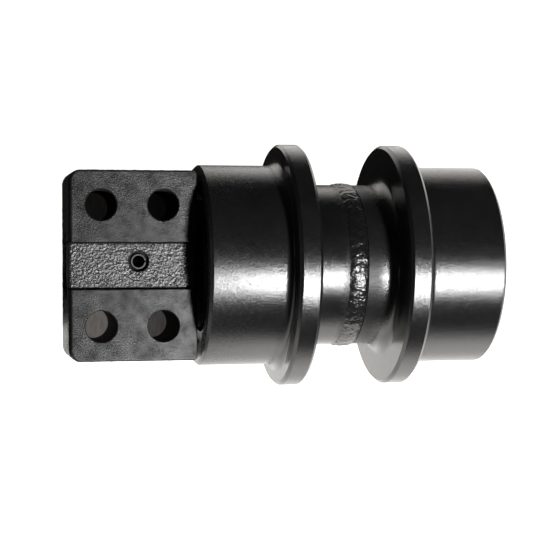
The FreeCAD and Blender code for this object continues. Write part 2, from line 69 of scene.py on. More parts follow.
def extent(node, axis):
    """Lowest and highest value of a CAD node along one axis, in millimetres."""
    low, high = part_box(node)
    return low[axis] / MM, high[axis] / MM


# Places read from the frame
ROLLER_LEFT, WELD_X = extent("shell_left", 0)
ROLLER_RIGHT = extent("shell_right", 0)[1]
ROLLER_MIDDLE = (ROLLER_LEFT + ROLLER_RIGHT) / 2
BLOCK_LEFT, BLOCK_RIGHT = extent("end_bracket", 0)
BLOCK_SIDE = extent("end_bracket", 1)[1]
BLOCK_BOTTOM, PAD_PLANE = extent("end_bracket", 2)
COLLAR_LEFT, HUB_FACE = extent("seal_collar", 0)
PLUG_BOTTOM, PLUG_TOP = extent("fill_plug", 2)
AXIS_Z = (PLUG_BOTTOM + PLUG_TOP) / 2
PIN_LEFT, PIN_RIGHT = extent("shaft_lock_pin", 0)
PIN_FRONT, PIN_BACK = extent("shaft_lock_pin", 1)
PIN_X = (PIN_LEFT + PIN_RIGHT) / 2
PIN_Y = (PIN_FRONT + PIN_BACK) / 2
SHAFT_LEFT = extent("shaft", 0)[0]
COVER_LEFT, COVER_RIGHT = extent("end_cover", 0)

bolt_pattern = frame["record"]["mounts"][0]["dims"]
BOLT_HOLE_RADIUS = bolt_pattern["hole_r_mm"]
BOLT_SPACING_X = bolt_pattern["spacing_x_mm"]
BOLT_SPACING_Y = bolt_pattern["spacing_y_mm"]

# Roller
TREAD_RADIUS = 100.0
TREAD_CHAMFER = 3.0
FLANGE_RADIUS = 121.5
FLANGE_CHAMFER = 3.0
FLANGE_INNER = 43.0
FLANGE_OUTER = 65.5
FLANGE_ROOT_ROUND = 9.0
NECK_RADIUS = 81.0
NECK_ROUND_LEFT = 7.0
NECK_ROUND_RIGHT = 12.5
GROOVE_HALF_WIDTH = 9.5
WELD_ROOT = 64.0
EDGE_ROUND = 0.7
WALL_FOOT = 21.9
SHELL_BORE = 46.0
BUSH_SEAT = 42.0
BUSH_LENGTH = 70.0
COVER_SEAT = ROLLER_RIGHT - 15.5
COVER_SPIGOT_BORE = 56.0
BOLT_CIRCLE = 64.0
BOLTS = 6

# ---------------------------------------------------------------------------
# Shapes


def arc_points(before, corner, after, radius, step=15.0):
    """Points along the arc that rounds one corner of a flat outline."""
    corner = Vector(corner)
    back = (Vector(before) - corner).normalized()
    ahead = (Vector(after) - corner).normalized()
    angle = back.angle(ahead)
    turn = math.pi - angle
    if radius <= 0 or turn < math.radians(2):
        return [tuple(corner)]
    reach = radius / math.tan(angle / 2)
    centre = corner + (back + ahead).normalized() * (radius / math.sin(angle / 2))
    start = corner + back * reach - centre
    end = corner + ahead * reach - centre
    count = max(2, math.ceil(math.degrees(turn) / step))
    points = []
    for index in range(count + 1):
        share = index / count
        spoke = start * math.sin((1 - share) * turn) + end * math.sin(share * turn)
        points.append(tuple(centre + spoke / math.sin(turn)))
    return points


def rounded(corners, default=EDGE_ROUND):
    """Closed outline with every corner rounded; a third value in a corner is its own radius."""
    points = []
    for index, corner in enumerate(corners):
        before = corners[index - 1][:2]
        after = corners[(index + 1) % len(corners)][:2]
        radius = corner[2] if len(corner) > 2 else default
        points += arc_points(before, corner[:2], after, radius)
    return points


def new_object(name, verts, faces):
    """Object from millimetre vertices, with outward normals and no doubled points."""
    mesh = bpy.data.meshes.new(name)
    mesh.from_pydata([tuple(value * MM for value in vert) for vert in verts], [], faces)
    work = bmesh.new()
    work.from_mesh(mesh)
    bmesh.ops.remove_doubles(work, verts=work.verts, dist=1e-7)
    bmesh.ops.recalc_face_normals(work, faces=work.faces)
    work.to_mesh(mesh)
    work.free()
    piece = bpy.data.objects.new(name, mesh)
    bpy.context.scene.collection.objects.link(piece)
    return piece


def lathe(name, profile, segments=SEGMENTS, origin=None, axis=0):
    """Solid of revolution from a closed (along, radius) outline about the axle or an upright axis."""
    origin = origin or (0, 0, AXIS_Z)
    count = len(profile)
    verts = []
    for index in range(segments):
        angle = 2 * math.pi * index / segments
        for along, radius in profile:
            u = radius * math.cos(angle)
            v = radius * math.sin(angle)
            offset = (along, v, u) if axis == 0 else (u, v, along)
            verts.append(tuple(a + b for a, b in zip(origin, offset)))
    faces = []
    for index in range(segments):
        here, there = index * count, (index + 1) % segments * count
        for k in range(count):
            after = (k + 1) % count
            if profile[k][1] > 1e-6 or profile[after][1] > 1e-6:
                faces.append((here + k, here + after, there + after, there + k))
    return new_object(name, verts, faces)


def prism(name, outline, start, end, origin):
    """Prism along the axle on a flat (y, z) outline about origin."""
    count = len(outline)
    verts = []
    for x in (start, end):
        for y, z in outline:
            verts.append((x, origin[0] + y, origin[1] + z))
    faces = [tuple(range(count)), tuple(range(count, 2 * count))]
    for k in range(count):
        after = (k + 1) % count
        faces.append((k, after, count + after, count + k))
    return new_object(name, verts, faces)


def combine(piece, other, operation):
    """Applies a boolean with another object and removes that object."""
    modifier = piece.modifiers.new("combine", "BOOLEAN")
    modifier.operation = operation
    modifier.solver = "EXACT"
    modifier.object = other
    bpy.context.view_layer.update()
    graph = bpy.context.evaluated_depsgraph_get()
    result = bpy.data.meshes.new_from_object(piece.evaluated_get(graph))
    piece.modifiers.clear()
    piece.data = result
    bpy.data.objects.remove(other)


def joined(pieces):
    """Several objects as one."""
    work = bmesh.new()
    for piece in pieces:
        work.from_mesh(piece.data)
    mesh = pieces[0].data
    work.to_mesh(mesh)
    work.free()
    for piece in pieces[1:]:
        bpy.data.objects.remove(piece)
    return pieces[0]


def around_axle(count, circle):
    """Offsets (y, z) of evenly spaced places on a circle about the axle."""
    places = []
    for index in range(count):
        angle = 2 * math.pi * index / count + math.pi / 2
        places.append((circle * math.cos(angle), circle * math.sin(angle)))
    return places


# ---------------------------------------------------------------------------
# Materials


class Nodes:
    """A material's node tree with short calls for the nodes used here."""

    def __init__(self, name, **values):
        self.material = bpy.data.materials.new(name)
        self.material.use_nodes = True
        self.tree = self.material.node_tree
        self.shader = self.tree.nodes["Principled BSDF"]
        for socket, value in values.items():
            self.shader.inputs[socket.replace("_", " ")].default_value = value
        self.place = self.add("ShaderNodeTexCoord").outputs["Object"]

    def add(self, kind, **settings):
        node = self.tree.nodes.new(kind)
        for key, value in settings.items():
            setattr(node, key, value)
        return node

    def link(self, source, target):
        self.tree.links.new(source, target)

    def stretched(self, scale):
        """Object position with each axis scaled, for streaks."""
        mapping = self.add("ShaderNodeMapping")
        mapping.inputs["Scale"].default_value = scale
        self.link(self.place, mapping.inputs["Vector"])
        return mapping.outputs["Vector"]

    def flat(self):
        """Object position with its height left out."""
        return self.stretched((1.0, 1.0, 0.0))

    def noise(self, scale, detail=3.0, roughness=0.5, vector=None):
        node = self.add("ShaderNodeTexNoise")
        node.inputs["Scale"].default_value = scale
        node.inputs["Detail"].default_value = detail
        node.inputs["Roughness"].default_value = roughness
        self.link(vector or self.place, node.inputs["Vector"])
        return node.outputs["Fac"]

    def remap(self, source, low, high, to_low, to_high):
        node = self.add("ShaderNodeMapRange")
        for socket, value in zip(node.inputs[1:5], (low, high, to_low, to_high)):
            socket.default_value = value
        self.link(source, node.inputs["Value"])
        return node.outputs["Result"]

    def math(self, operation, first, second):
        node = self.add("ShaderNodeMath", operation=operation)
        for socket, value in zip(node.inputs, (first, second)):
            if isinstance(value, (int, float)):
                socket.default_value = value
            else:
                self.link(value, socket)
        return node.outputs["Value"]

    def colours(self, source, *stops):
        """Colour ramp with (position, (r, g, b)) stops."""
        node = self.add("ShaderNodeValToRGB")
        ramp = node.color_ramp
        while len(ramp.elements) < len(stops):
            ramp.elements.new(0.5)
        for element, (position, colour) in zip(ramp.elements, stops):
            element.position = position
            element.color = (*colour, 1)
        self.link(source, node.inputs["Fac"])
        return node.outputs["Color"]

    def mixed(self, share, first, second):
        """Blend of two colours."""
        node = self.add("ShaderNodeMix", data_type="RGBA")
        self.link(share, node.inputs[0])
        self.link(first, node.inputs[6])
        self.link(second, node.inputs[7])
        return node.outputs[2]

    def bump(self, height, strength, distance, before=None):
        node = self.add("ShaderNodeBump")
        node.inputs["Strength"].default_value = strength
        node.inputs["Distance"].default_value = distance
        self.link(height, node.inputs["Height"])
        if before is not None:
            self.link(before, node.inputs["Normal"])
        return node.outputs["Normal"]

    def finish(self, colour=None, roughness=None, normal=None):
        for source, socket in ((colour, "Base Color"), (roughness, "Roughness"), (normal, "Normal")):
            if source is not None:
                self.link(source, self.shader.inputs[socket])
        return self.material


def roller_paint(name, dulled=1.0):
    """Satin black paint over turned steel: orange peel, faint turning rings, dull by the weld."""
    m = Nodes(name)
    rings = m.noise(700, 2.0, vector=m.stretched((1.0, 0.02, 0.02)))
    colour = m.colours(
        m.noise(25, 5.0, 0.6), (0.3, (0.0035, 0.0035, 0.0038)), (0.75, (0.0065, 0.0065, 0.007))
    )
    axes = m.add("ShaderNodeSeparateXYZ")
    m.link(m.place, axes.inputs["Vector"])
    from_weld = m.math("ABSOLUTE", m.math("SUBTRACT", axes.outputs["X"], (WELD_X + 6) * MM), 0)
    ragged = m.math("ADD", from_weld, m.math("MULTIPLY", m.noise(210, 5.0, 0.7), 0.016))
    dull = m.remap(ragged, 0.021, 0.030, dulled, 0.0)
    # Painted shade: the paint's reflection is turned down over the roller's left end, where the light falls
    # off.
    from_end = m.math("ADD", axes.outputs["X"], m.math("MULTIPLY", m.noise(90, 5.0, 0.7), 0.05))
    end_painted_shade = m.remap(from_end, (ROLLER_LEFT + 20) * MM, (ROLLER_LEFT + 85) * MM, 0.42, 0.0)
    dull = m.math("MAXIMUM", dull, end_painted_shade)
    m.link(m.remap(dull, 0.0, 1.0, 0.5, 0.22), m.shader.inputs["Specular IOR Level"])
    roughness = m.remap(m.noise(220, 5.0, 0.65), 0.3, 0.7, 0.19, 0.27)
    roughness = m.math("ADD", roughness, m.math("MULTIPLY", dull, 0.16))
    facing = m.add("ShaderNodeSeparateXYZ")
    m.link(m.add("ShaderNodeNewGeometry").outputs["Normal"], facing.inputs["Vector"])
    flat_end = m.remap(m.math("ABSOLUTE", facing.outputs["X"], 0), 0.3, 0.9, 1.0, 0.25)
    normal = m.bump(m.noise(1100, 1.0), 0.25, 0.00015)
    normal = m.bump(rings, 0.08, 0.0003, normal)
    peel = m.bump(m.noise(560, 3.0, 0.75), 0.5, 0.0005, normal)
    m.link(m.math("MULTIPLY", flat_end, 0.5), peel.node.inputs["Strength"])
    return m.finish(colour, roughness, peel)


def bore_mask(m):
    """1 on the walls of the four bolt holes, 0 elsewhere."""
    axes = m.add("ShaderNodeSeparateXYZ")
    m.link(m.place, axes.inputs["Vector"])
    squares = []
    for socket, spacing in (("X", BOLT_SPACING_X), ("Y", BOLT_SPACING_Y)):
        offset = m.math("SUBTRACT", m.math("ABSOLUTE", axes.outputs[socket], 0), spacing / 2 * MM)
        squares.append(m.math("POWER", m.math("ABSOLUTE", offset, 0), 2.0))
    distance = m.math("SQRT", m.math("ADD", squares[0], squares[1]), 0)
    return m.remap(distance, (BOLT_HOLE_RADIUS + 0.1) * MM, (BOLT_HOLE_RADIUS + 0.3) * MM, 1.0, 0.0)


def cast_paint(name):
    """Black paint over a casting: rough as cast, smoother on the machined pads, bare in the bores."""
    m = Nodes(name)
    cast = m.add("ShaderNodeAttribute", attribute_name="cast").outputs["Fac"]
    facing = m.add("ShaderNodeSeparateXYZ")
    m.link(m.add("ShaderNodeNewGeometry").outputs["Normal"], facing.inputs["Vector"])
    upright = m.remap(m.math("ABSOLUTE", facing.outputs["Z"], 0), 0.35, 0.8, 1.0, 0.0)
    bore = bore_mask(m)
    mottle = m.noise(75, 6.0, 0.65)
    paint = m.colours(
        m.noise(40, 6.0, 0.65), (0.3, (0.005, 0.005, 0.0055)), (0.75, (0.012, 0.0122, 0.013))
    )
    bare = m.colours(
        m.noise(500, 4.0, vector=m.stretched((0.05, 0.05, 1.0))),
        (0.3, (0.016, 0.013, 0.011)), (0.7, (0.036, 0.030, 0.027))
    )
    colour = m.mixed(bore, paint, bare)
    level = m.remap(mottle, 0.32, 0.68, 0.08, 0.36)
    across = m.add("ShaderNodeSeparateXYZ")
    m.link(m.place, across.inputs["Vector"])
    # Painted sheen: the paint's reflection grows from the block's left end to its right end, following how
    # the light falls there.
    painted_sheen_across = m.remap(across.outputs["X"], BLOCK_LEFT * MM, BLOCK_RIGHT * MM, 0.66, 1.34)
    level = m.math("ADD", m.math("MULTIPLY", level, painted_sheen_across), m.math("MULTIPLY", cast, 0.27))
    # Painted shade on the block's sides: their reflection is cut to a fifth.
    level = m.math("MULTIPLY", level, m.remap(upright, 0.0, 1.0, 1.0, 0.2))
    # Painted shade in the corners at the channel's walls: the reflection drops to an eighth there.
    from_wall = m.math(
        "ABSOLUTE", m.math("SUBTRACT", m.math("ABSOLUTE", across.outputs["Y"], 0), WALL_FOOT * MM), 0
    )
    level = m.math("MULTIPLY", level, m.remap(from_wall, 0.0008, 0.0019, 0.12, 1.0))
    # Painted shade in the recess round the lock pin: the reflection drops there.
    pin = m.add("ShaderNodeVectorMath", operation="DISTANCE")
    m.link(m.flat(), pin.inputs[0])
    pin.inputs[1].default_value = (PIN_X * MM, PIN_Y * MM, 0)
    level = m.math("MULTIPLY", level, m.remap(pin.outputs["Value"], 0.0103, 0.0112, 0.08, 1.0))
    m.link(level, m.shader.inputs["Specular IOR Level"])
    roughness = m.remap(m.noise(150, 5.0, 0.6), 0.3, 0.7, 0.27, 0.37)
    roughness = m.math("ADD", roughness, m.math("MULTIPLY", bore, 0.25))
    normal = m.bump(m.noise(640, 3.0, 0.7), 0.7, 0.0005)
    rough = m.add("ShaderNodeBump")
    rough.inputs["Distance"].default_value = 0.0010
    m.link(cast, rough.inputs["Strength"])
    m.link(m.noise(420, 1.5, 0.5), rough.inputs["Height"])
    m.link(normal, rough.inputs["Normal"])
    return m.finish(colour, roughness, rough.outputs["Normal"])


def metal(name, base, low, high, streaks=(1.0, 1.0, 1.0), scale=500.0, bump=0.1):
    """Bare or plated metal with fine tool marks."""
    m = Nodes(name, Metallic=1.0)
    marks = m.noise(scale, 3.0, vector=m.stretched(streaks))
    dark = tuple(value * 0.75 for value in base)
    colour = m.colours(m.noise(90, 4.0), (0.3, dark), (0.7, base))
    return m.finish(colour, m.remap(marks, 0.3, 0.7, low, high), m.bump(marks, bump, 0.0002))


def dull_black(name):
    """Primed steel in the gap behind the roller, dark and dull: partly dust and grease, partly painted
    shade for the shaded gap.
    """
    # Painted shade: a low specular level keeps reflections out of the shaded gap.
    m = Nodes(name, Specular_IOR_Level=0.12)
    colour = m.colours(m.noise(70, 5.0), (0.3, (0.006, 0.006, 0.006)), (0.7, (0.013, 0.012, 0.011)))
    roughness = m.remap(m.noise(240, 4.0), 0.3, 0.7, 0.55, 0.7)
    return m.finish(colour, roughness, m.bump(m.noise(500), 0.2, 0.0003))


def rubber(name):
    m = Nodes(name)
    colour = m.colours(m.noise(200, 3.0), (0.3, (0.012, 0.012, 0.012)), (0.7, (0.03, 0.03, 0.03)))
    return m.finish(colour, m.remap(m.noise(300), 0.3, 0.7, 0.55, 0.75), m.bump(m.noise(900), 0.1, 0.0003))


def painted_shaft(name):
    """Ground steel whose end, flush in the bracket, took the bracket's black paint."""
    m = Nodes(name)
    marks = m.noise(500, 3.0, vector=m.stretched(TURNED))
    steel = m.colours(m.noise(90, 4.0), (0.3, (0.40, 0.40, 0.41)), (0.7, (0.53, 0.53, 0.54)))
    paint = m.colours(m.noise(120, 4.0), (0.3, (0.005, 0.005, 0.0055)), (0.7, (0.012, 0.012, 0.013)))
    axes = m.add("ShaderNodeSeparateXYZ")
    m.link(m.place, axes.inputs["Vector"])
    bare = m.remap(axes.outputs["X"], (SHAFT_LEFT + 6.5) * MM, (SHAFT_LEFT + 7.5) * MM, 0.0, 1.0)
    m.link(bare, m.shader.inputs["Metallic"])
    colour = m.mixed(bare, paint, steel)
    return m.finish(colour, m.remap(marks, 0.3, 0.7, 0.3, 0.42), m.bump(marks, 0.1, 0.0002))


TURNED = (1.0, 0.03, 0.03)
materials = {
    "roller_paint": roller_paint("satin_black_roller"),
    "weld_paint": roller_paint("satin_black_weld", 0.15),
    "cover_paint": roller_paint("satin_black_cover"),
    "bracket_paint": cast_paint("black_casting"),
    "ground_steel": painted_shaft("ground_steel"),
    "spring_steel": metal("spring_steel", (0.05, 0.05, 0.052), 0.4, 0.55),
    "bolt_steel": metal("bolt_steel", (0.10, 0.10, 0.105), 0.35, 0.5),
    "copper": metal("copper", (0.72, 0.40, 0.26), 0.3, 0.45, TURNED),
    "bronze": metal("bronze", (0.62, 0.44, 0.22), 0.3, 0.45, TURNED),
    "seal_iron": metal("seal_iron", (0.35, 0.35, 0.36), 0.2, 0.35, TURNED),
    "rubber": rubber("black_rubber"),
    "dull_black": dull_black("dull_black"),
}


def dress(piece, slot, node=None, body=None, look=None):
    """Gives a piece the material of its slot, or of look, and, for a new piece, smooth shading, weighted
    normals and its body, and hides the CAD node it replaces.
    """
    piece.data.materials.clear()
    piece.data.materials.append(materials[look or slot])
    if node:
        for polygon in piece.data.polygons:
            polygon.use_smooth = True
        piece.data.set_sharp_from_angle(angle=math.radians(38))
        weighted = piece.modifiers.new("weighted", "WEIGHTED_NORMAL")
        weighted.keep_sharp = True
        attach(piece, body)
        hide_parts(node)


for entry in frame["record"]["subparts"]:
    dress(frame["nodes"][entry["node"]], entry["material_slot"])

# ---------------------------------------------------------------------------
# Camera, floor and lights

CAMERA_LENS = 99.28
CAMERA_DISTANCE = 1536.5
CAMERA_SWING = math.radians(11.98)
CAMERA_LIFT = math.radians(-0.705)
CAMERA_ROLL = math.radians(-0.16)
AIM_OFFSET_Y = -10.3
FLOOR_GLOW = 1.15
WARM_WHITE = (1.0, 0.965, 0.912)
UNDER_GLOW = 0.128
FLOOR_Z = cad_low.z / MM
FLOOR_HALF = 6000.0
DARK_CARD_Y = 345.0
BACK_CARD_HEIGHT = 900.0
LEFT_CARD_FRONT = -450.0
SHADOW_LEFT = 54.0
SHADOW_RIGHT = -45.0
SHADOW_FRONT = -62.0
SHADOW_BACK = 165.0


def add_camera():
    centre = (cad_low + cad_high) / 2
    aim = Vector((centre.x, AIM_OFFSET_Y * MM, AXIS_Z * MM))
    ahead = Vector((
        math.sin(CAMERA_SWING) * math.cos(CAMERA_LIFT),
        math.sin(CAMERA_LIFT),
        -math.cos(CAMERA_SWING) * math.cos(CAMERA_LIFT),
    ))
    right = ahead.cross(Vector((0, 1, 0))).normalized()
    up = right.cross(ahead)
    turn = Matrix((right, up, -ahead)).transposed() @ Matrix.Rotation(CAMERA_ROLL, 3, "Z")
    data = bpy.data.cameras.new("camera")
    data.lens = CAMERA_LENS
    data.sensor_width = 36.0
    data.clip_end = 20.0
    camera = bpy.data.objects.new("camera", data)
    camera.matrix_world = Matrix.Translation(aim - ahead * CAMERA_DISTANCE * MM) @ turn.to_4x4()
    bpy.context.scene.collection.objects.link(camera)
    bpy.context.scene.camera = camera


def flat_card(name, corners):
    """Flat four-sided sheet from millimetre corners."""
    mesh = bpy.data.meshes.new(name)
    mesh.from_pydata([tuple(value * MM for value in corner) for corner in corners], [], [(0, 1, 2, 3)])
    card = bpy.data.objects.new(name, mesh)
    bpy.context.scene.collection.objects.link(card)
    return card


def level_corners(left, right, front, back, height):
    """Corners of a level rectangle in millimetres."""
    return [(left, front, height), (right, front, height), (right, back, height), (left, back, height)]


def add_floor():
    floor = flat_card("floor", level_corners(-FLOOR_HALF, FLOOR_HALF, -FLOOR_HALF, FLOOR_HALF, FLOOR_Z))
    m = Nodes("pale_floor", Specular_IOR_Level=0.2)
    m.shader.inputs["Emission Color"].default_value = (*WARM_WHITE, 1)
    m.shader.inputs["Emission Strength"].default_value = FLOOR_GLOW
    pale = m.colours(m.noise(3, 2.0), (0.3, (0.30, 0.30, 0.30)), (0.7, (0.32, 0.32, 0.32)))
    floor.data.materials.append(m.finish(pale, m.remap(m.noise(8), 0.3, 0.7, 0.7, 0.8)))


def add_under_card():
    """Brown card close below the bracket, what shows through the bolt holes: painted shade, with a painted
    pool of light glowing at the front and fading to the back and the right.
    """
    side = BLOCK_SIDE - 8
    card = flat_card(
        "under_card", level_corners(BLOCK_LEFT + 8, BLOCK_RIGHT - 4, -side, side, BLOCK_BOTTOM - 2)
    )
    m = Nodes("under_card", Specular_IOR_Level=0.0)
    streaks = m.noise(420, 3.0, vector=m.stretched((1.0, 0.25, 1.0)))
    colour = m.colours(streaks, (0.3, (0.72, 0.66, 0.62)), (0.7, (1.0, 0.93, 0.88)))
    axes = m.add("ShaderNodeSeparateXYZ")
    m.link(m.place, axes.inputs["Vector"])
    # Painted light: the emission is brightest at the front and left and fades to the back and the right.
    painted_light = m.math(
        "MULTIPLY", m.remap(axes.outputs["Y"], -0.040, -0.015, UNDER_GLOW, 0.006),
        m.remap(axes.outputs["X"], -0.015, 0.040, 1.0, 0.38)
    )
    m.link(painted_light, m.shader.inputs["Emission Strength"])
    m.link(colour, m.shader.inputs["Emission Color"])
    m.shader.inputs["Base Color"].default_value = (0.01, 0.009, 0.008, 1)
    card.data.materials.append(m.finish(None, m.remap(m.noise(60), 0.3, 0.7, 0.7, 0.9)))


def dark_card(name, corners):
    """Black card that is seen only in reflections and throws no shadow: a painted dark reflection."""
    card = flat_card(name, corners)
    m = Nodes(name, Specular_IOR_Level=0.0)
    black = m.colours(m.noise(5), (0.3, (0, 0, 0)), (0.7, (0.01, 0.01, 0.01)))
    card.data.materials.append(m.finish(black))
    card.visible_camera = False
    card.visible_shadow = False


def add_dark_cards():
    """One card stands behind the roller; three lie on the floor as painted shadow: where its shadow falls,
    beside it and behind it.
    """
    top = FLOOR_Z + BACK_CARD_HEIGHT
    back = [(-1600, FLOOR_Z), (2000, FLOOR_Z), (2000, top), (-1600, top)]
    dark_card("back_card", [(x, DARK_CARD_Y, z) for x, z in back])
    left, right = BLOCK_LEFT - SHADOW_LEFT, ROLLER_RIGHT + SHADOW_RIGHT
    height = FLOOR_Z + 0.5
    dark_card("shadow_card", level_corners(left, right, SHADOW_FRONT, SHADOW_BACK, height))
    dark_card("left_shadow_card", level_corners(left - 900, left, LEFT_CARD_FRONT, DARK_CARD_Y, height))
    dark_card("bracket_shadow_card", level_corners(left, BLOCK_RIGHT, SHADOW_BACK, DARK_CARD_Y, height))


def area_light(name, place, facing, size, radiance, colour=(1, 1, 1)):
    """Rectangular light centred at place (millimetres), facing a direction, of a given brightness."""
    data = bpy.data.lights.new(name, "AREA")
    data.shape = "RECTANGLE"
    data.size, data.size_y = (value * MM for value in size)
    data.energy = radiance * math.pi * data.size * data.size_y
    data.color = colour
    light = bpy.data.objects.new(name, data)
    light.location = Vector(place) * MM
    light.rotation_euler = Vector(facing).to_track_quat("-Z", "X").to_euler()
    light.visible_camera = False
    bpy.context.scene.collection.objects.link(light)


KEY_DIRECTION = Vector((0.30, -0.36, 1.0)).normalized()
KEY_DISTANCE = 6000.0
FRONT_CARD_WIDTH = 3000.0
FRONT_CARD_RADIANCE = 4.1
KEY_SIZE = 600.0
KEY_RADIANCE = 750.0
CARD_FOOT = Vector((ROLLER_MIDDLE, -400.0, FLOOR_Z + 4))
CARD_TOP = Vector((ROLLER_MIDDLE, -1450.0, 500.0))

add_camera()
add_floor()
add_under_card()
add_dark_cards()
middle = Vector((ROLLER_MIDDLE, 0, AXIS_Z))
key_place = middle + KEY_DIRECTION * KEY_DISTANCE
area_light("key", key_place, -KEY_DIRECTION, (KEY_SIZE, KEY_SIZE), KEY_RADIANCE)
card = CARD_TOP - CARD_FOOT
area_light(
    "front_card", (CARD_FOOT + CARD_TOP) / 2, card.cross(Vector((-1, 0, 0))),
    (FRONT_CARD_WIDTH, card.length), FRONT_CARD_RADIANCE, WARM_WHITE
)
world = bpy.data.worlds.new("studio")
world.use_nodes = True
world.node_tree.nodes["Background"].inputs["Color"].default_value = (1, 1, 1, 1)
world.node_tree.nodes["Background"].inputs["Strength"].default_value = 0.03
bpy.context.scene.world = world
bpy.context.scene.view_settings.view_transform = "Standard"

# ---------------------------------------------------------------------------
# Roller shell


def shell_outside(side, neck_round):
    """Outer corners of a half shell from its end face to the weld root; side -1 is the left."""
    end = ROLLER_LEFT if side < 0 else ROLLER_RIGHT
    outer = ROLLER_MIDDLE + side * FLANGE_OUTER
    inner = ROLLER_MIDDLE + side * FLANGE_INNER
    return [
        (end, TREAD_RADIUS - TREAD_CHAMFER),
        (end - side * TREAD_CHAMFER, TREAD_RADIUS),
        (outer, TREAD_RADIUS, FLANGE_ROOT_ROUND),
        (outer, FLANGE_RADIUS - FLANGE_CHAMFER),
        (outer - side * FLANGE_CHAMFER, FLANGE_RADIUS),
        (inner + side * FLANGE_CHAMFER, FLANGE_RADIUS),
        (inner, FLANGE_RADIUS - FLANGE_CHAMFER),
        (inner, NECK_RADIUS, neck_round),
        (WELD_X + side * GROOVE_HALF_WIDTH, NECK_RADIUS, 0),
        (WELD_X, WELD_ROOT, 0),
        (WELD_X, SHELL_BORE, 0),
    ]


def left_shell():
    seal_face = HUB_FACE + 3.0
    thrust = seal_face + 25.0
    profile = rounded(shell_outside(-1, NECK_ROUND_LEFT) + [
        (thrust + BUSH_LENGTH, SHELL_BORE),
        (thrust + BUSH_LENGTH, BUSH_SEAT),
        (thrust, BUSH_SEAT),
        (thrust, 48.0),
        (seal_face + 12.0, 48.0),
        (seal_face + 12.0, 54.0),
        (seal_face, 54.0),
        (seal_face, 66.0),
        (ROLLER_LEFT + 5.0, 66.0),
        (ROLLER_LEFT + 5.0, 80.0, 3.0),
        (ROLLER_LEFT, 81.0),
    ])
    dress(lathe("shell_left_turned", profile), "roller_paint", "shell_left", "roller")


def right_shell():
    thrust = extent("bush_right", 0)[1]
    profile = rounded(shell_outside(1, NECK_ROUND_RIGHT) + [
        (thrust - BUSH_LENGTH, SHELL_BORE),
        (thrust - BUSH_LENGTH, BUSH_SEAT),
        (thrust, BUSH_SEAT),
        (thrust, COVER_SPIGOT_BORE),
        (COVER_SEAT, COVER_SPIGOT_BORE),
        (COVER_SEAT, 76.0),
        (ROLLER_RIGHT - 1.5, 76.0),
        (ROLLER_RIGHT, 77.5),
    ])
    shell = lathe("shell_right_turned", profile)
    tap = [(COVER_SEAT - 24, 0), (COVER_SEAT - 24, 5.0), (COVER_SEAT + 1, 5.0), (COVER_SEAT + 1, 0)]
    taps = [lathe("tap", tap, 48, (0, y, AXIS_Z + z)) for y, z in around_axle(BOLTS, BOLT_CIRCLE)]
    combine(shell, joined(taps), "DIFFERENCE")
    dress(shell, "roller_paint", "shell_right", "roller")


left_shell()
right_shell()

# ---------------------------------------------------------------------------
# Weld bead

WELD_SEGMENTS = 1200
WELD_STEPS = 40
WELD_LEFT = -10.2
WELD_RIGHT = 9.3
WELD_CROWN = 1.75
RIPPLES = 104


def wander(angle, seed, rate):
    """Smooth noise round the roller, between -1 and 1."""
    place = Vector((rate * math.cos(angle), rate * math.sin(angle), seed))
    return noise.noise(place)


def groove_radius(x):
    """Radius of the groove's wall, or of the neck beside it."""
    inside = max(0.0, GROOVE_HALF_WIDTH - abs(x))
    return NECK_RADIUS - inside * (NECK_RADIUS - WELD_ROOT) / GROOVE_HALF_WIDTH


def weld_height(across, angle):
    """Height of the weld above the neck: crescent ripples over an uneven flat cap."""
    crown = WELD_CROWN * (1 + 0.16 * wander(angle, 5.7, 7.0))
    lean = across - 0.22 - 0.15 * wander(angle, 2.2, 6.0)
    cap = max(0.0, 1 - abs(across) ** 3.4) * (1 - 0.30 * lean * lean)
    swirl = Vector((across * 1.9, 15 * math.cos(angle), 15 * math.sin(angle)))
    bend = 0.8 * across * across - 0.4 * across
    phase = RIPPLES * angle / (2 * math.pi) + bend + 1.1 * noise.noise(swirl)
    share = phase - math.floor(phase)
    ripple = (share ** 0.7 if share < 0.7 else 0.78 * (1 - share) / 0.3) - 0.5
    depth = 0.26 * (0.6 + 1.1 * wander(angle, 9.4, 20.0))
    lumps = 0.55 * noise.noise(swirl + Vector((5, 1, 2))) + 0.24 * noise.noise(swirl * 2.3)
    return cap * (crown + depth * ripple) + lumps * min(1.0, 3 * cap)


def weld():
    """Butt weld in its groove; where its right toe falls short it leaves a fine open line."""
    verts, faces = [], []
    for index in range(WELD_SEGMENTS):
        angle = 2 * math.pi * index / WELD_SEGMENTS
        left = WELD_LEFT + 1.3 * wander(angle, 12.5, 18.0) + 0.7 * wander(angle, 1.5, 50.0)
        right = WELD_RIGHT + 0.9 * wander(angle, 17.5, 16.0) + 0.4 * wander(angle, 7.5, 50.0)
        right = min(right, -WELD_LEFT)
        left = max(left, -GROOVE_HALF_WIDTH - 1)
        ring = [(left, groove_radius(left) - 0.3)]
        for step in range(1, WELD_STEPS):
            across = 2 * step / WELD_STEPS - 1
            x = (left + right) / 2 + across * (right - left) / 2
            ring.append((x, NECK_RADIUS + max(0.05, weld_height(across, angle))))
        ring += [(right, groove_radius(right) - 0.3), (0, WELD_ROOT)]
        for x, radius in ring:
            verts.append((WELD_X + x, radius * math.sin(angle), AXIS_Z + radius * math.cos(angle)))
    count = WELD_STEPS + 2
    for index in range(WELD_SEGMENTS):
        here, there = index * count, (index + 1) % WELD_SEGMENTS * count
        for k in range(count):
            after = (k + 1) % count
            faces.append((here + k, here + after, there + after, there + k))
    dress(new_object("weld_rippled", verts, faces), "weld_paint", "weld_bead", "roller")


weld()

# ---------------------------------------------------------------------------
# Bracket casting

